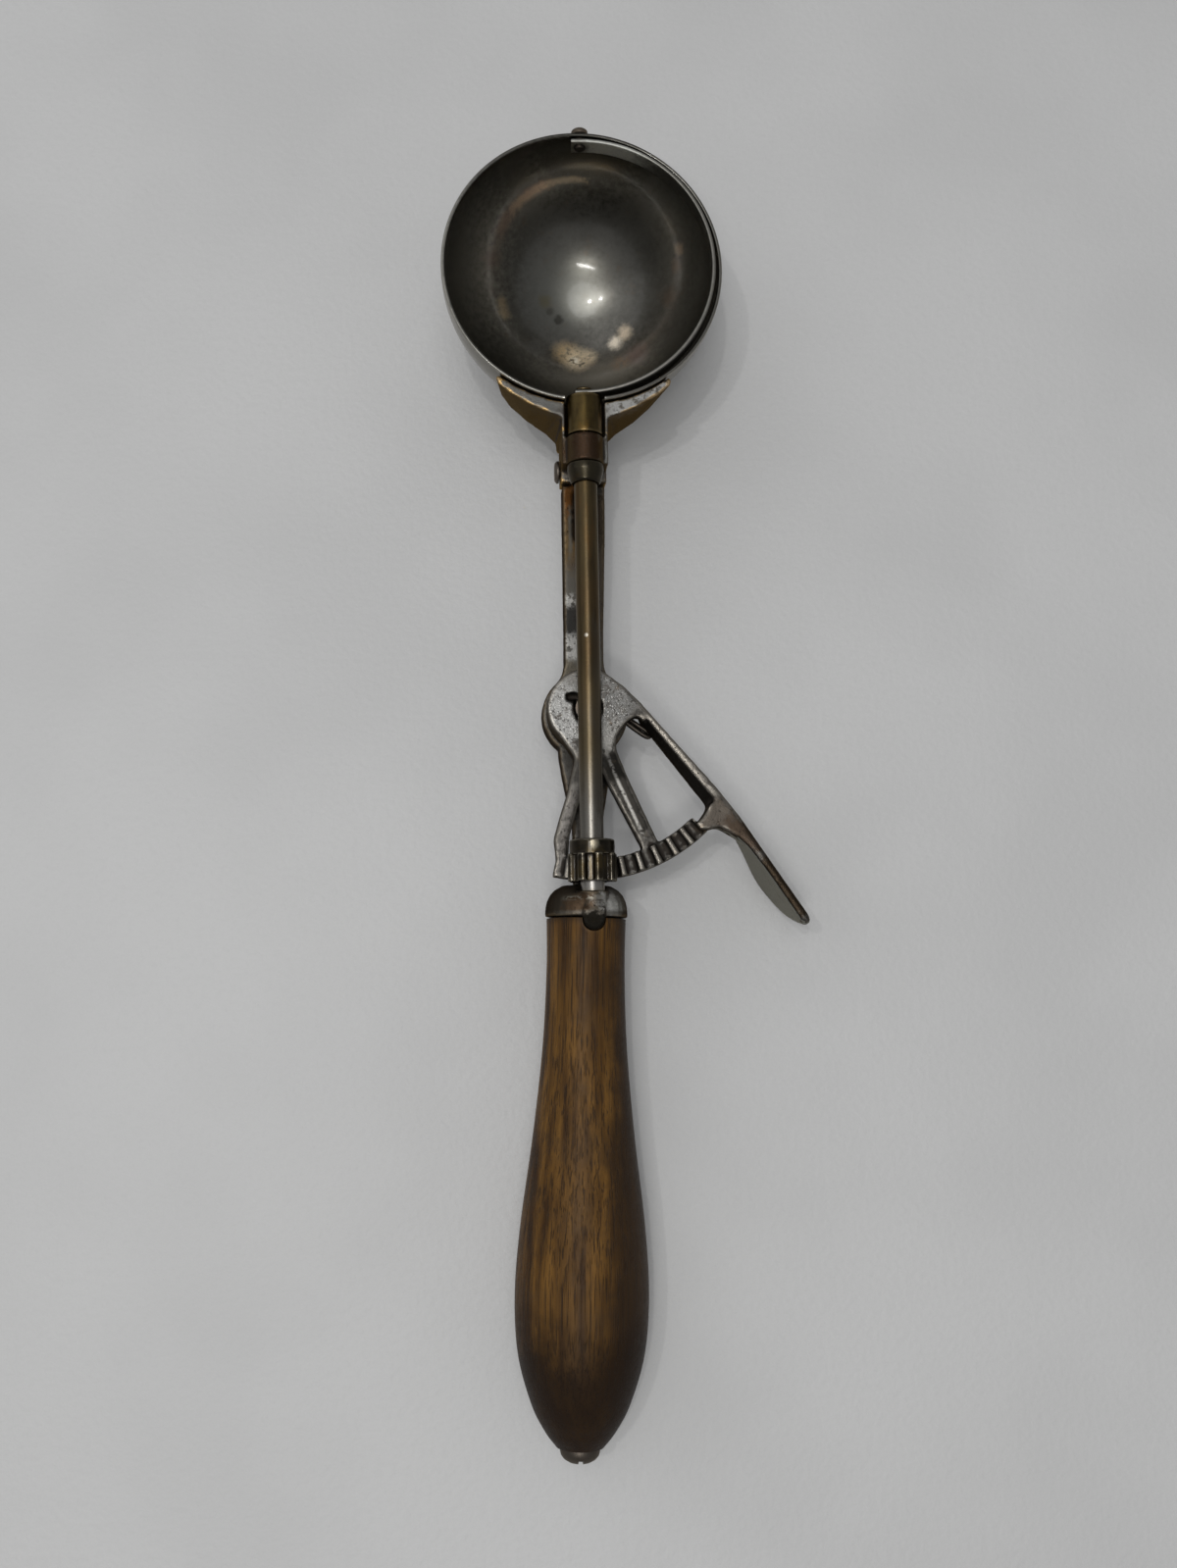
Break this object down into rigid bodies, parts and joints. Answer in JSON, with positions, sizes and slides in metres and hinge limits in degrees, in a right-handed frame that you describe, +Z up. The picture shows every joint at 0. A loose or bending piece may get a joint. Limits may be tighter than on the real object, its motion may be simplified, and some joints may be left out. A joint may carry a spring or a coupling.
{
  "type": "ice cream scoop",
  "caption": "Old spade-lever ice cream scoop: half-ball bowl with a geared scraper blade, cast frame and turned wooden handle.",
  "frame": {"origin": "centre of the footprint's bounding box, on the table, with the scoop resting on its bowl, handle and thumb pad", "axes": "+Y from the handle to the bowl, +X towards the thumb lever, +Z up, out of the bowl's mouth"},
  "size_m": [0.078, 0.285, 0.0353],
  "materials": {
    "bowl_nickel": "worn dull nickel plate with brown patches",
    "rivet_nickel": "worn nickel plate",
    "yoke_nickel": "pitted nickel plate worn to brass at the edges",
    "shank_nickel": "pitted nickel plate, brown in the hollows",
    "screw_steel": "dark aged steel",
    "stud_steel": "dark aged steel",
    "washer_steel": "dark aged steel",
    "nut_steel": "dark aged steel",
    "spring_steel": "dark aged spring wire",
    "walnut": "worn dark varnished wood",
    "tang_steel": "plain steel",
    "end_washer_steel": "tarnished plate",
    "end_nut_plate": "tarnished plate",
    "rod_brass": "brown tarnished brass",
    "sleeve_brass": "brown tarnished brass",
    "collar_brass": "brown tarnished brass",
    "pinion_brass": "brown tarnished brass",
    "pin_steel": "dark steel",
    "blade_nickel": "worn nickel plate",
    "lever_nickel": "pitted nickel plate, brown in the hollows"
  },
  "bodies": {
    "frame": {"bowl": "bowl_nickel", "tip_pivot_rivet": "rivet_nickel", "bowl_yoke": "yoke_nickel", "shank": "shank_nickel", "shank_cross_screw": "screw_steel", "lever_pivot_stud": "stud_steel", "pivot_washer": "washer_steel", "pivot_nut": "nut_steel", "return_spring": "spring_steel", "wooden_handle": "walnut", "tang_rod": "tang_steel", "end_washer": "end_washer_steel", "end_nut": "end_nut_plate"},
    "lever": {"lever": "lever_nickel"},
    "scraper": {"scraper_blade": "blade_nickel", "blade_sleeve": "sleeve_brass", "drive_rod": "rod_brass", "rod_collar": "collar_brass", "pinion": "pinion_brass", "pinion_pin": "pin_steel"}
  },
  "joints": [
    {"name": "lever_squeeze", "type": "hinge", "parent": "frame", "child": "lever", "pos_m": [-0.00831, 0.01234, 0.02106], "axis": [-0.048, 0.0515, -0.9975], "range_deg": [0, 26.8], "stiffness_Nm_per_rad": 0.15, "springref_deg": -20.05, "deforming": ["return_spring"]},
    {"name": "scraper_turn", "type": "hinge", "parent": "frame", "child": "scraper", "pos_m": [-0.00807, 0.04974, 0.02799], "axis": [0, 0.9987, 0.0516], "range_deg": [0, 187.7]}
  ],
  "couplings": [
    {"joint": "scraper_turn", "follows": "lever_squeeze", "ratio": 7}
  ]
}
